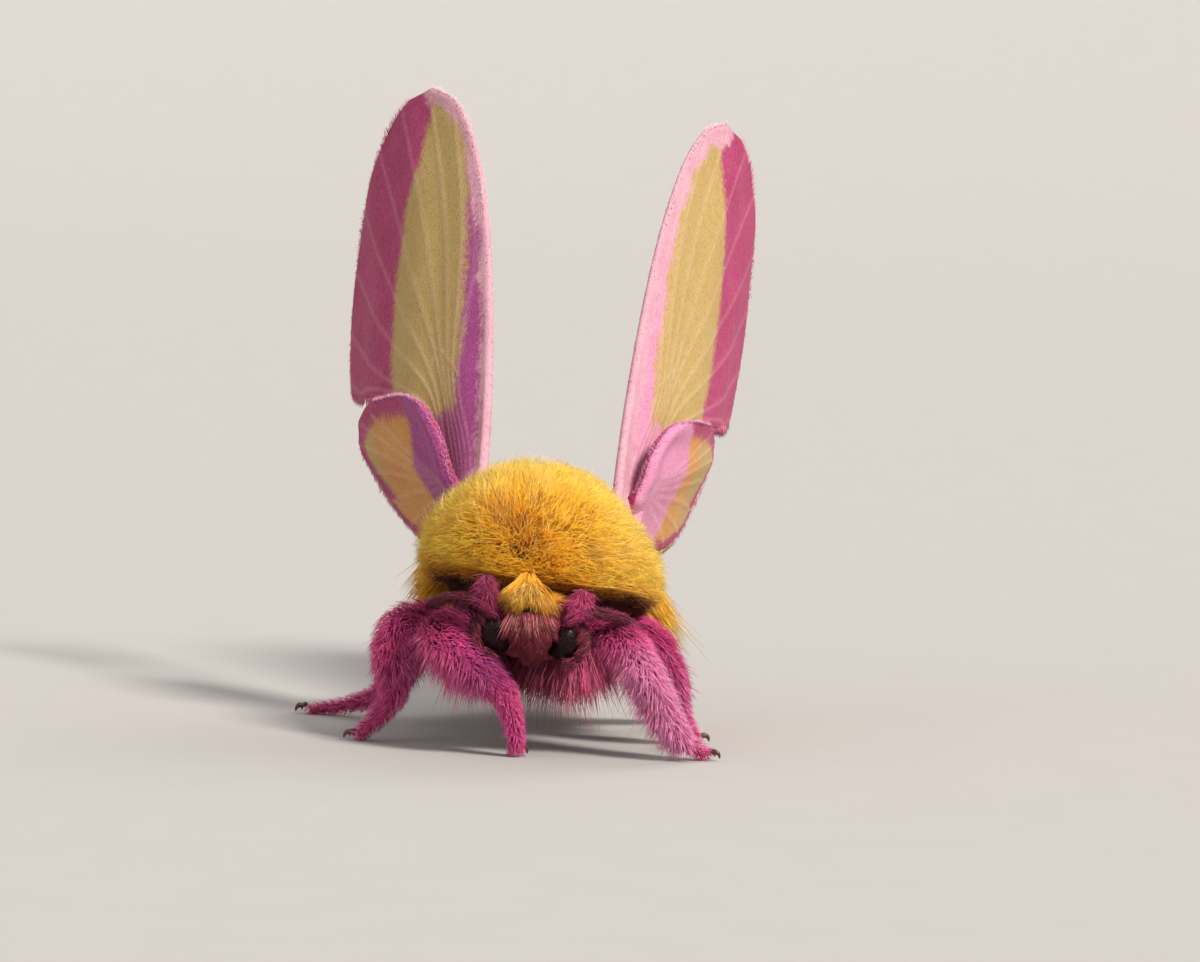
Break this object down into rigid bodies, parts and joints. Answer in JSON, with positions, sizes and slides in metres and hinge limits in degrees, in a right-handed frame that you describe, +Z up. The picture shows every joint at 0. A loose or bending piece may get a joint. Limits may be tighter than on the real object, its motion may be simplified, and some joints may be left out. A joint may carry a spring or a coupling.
{
  "type": "rosy maple moth",
  "caption": "Life-size model of a rosy maple moth standing with its wings raised, woolly yellow body, pink legs and pink and yellow wings.",
  "frame": {"origin": "middle of the underside of the box round the whole animal, on the floor it stands on", "axes": "+Z up, the head faces -Y, the moth's left side is at +X"},
  "size_m": [0.0164, 0.0238, 0.0235],
  "materials": {
    "fur_yellow": "long soft golden yellow hair",
    "fur_pink": "short woolly magenta pink hair",
    "wing": "powdery wing scales, pink with a cream yellow field",
    "eye": "dark glossy compound eye",
    "claw": "dark red-brown horn",
    "skin": "skin under the coat, in the coat's own colours"
  },
  "bodies": {
    "root": {"thorax": "fur_yellow", "abdomen": "fur_yellow", "head": "fur_yellow", "labial_palps": "fur_pink", "eye_left": "eye", "eye_right": "eye", "antenna_left": "fur_pink", "antenna_right": "fur_pink", "forewing_left": "wing", "forewing_right": "wing", "hindwing_left": "wing", "hindwing_right": "wing", "leg_fore_left": "fur_pink", "leg_fore_right": "fur_pink", "leg_mid_left": "fur_pink", "leg_mid_right": "fur_pink", "leg_hind_left": "fur_pink", "leg_hind_right": "fur_pink"}
  },
  "joints": []
}
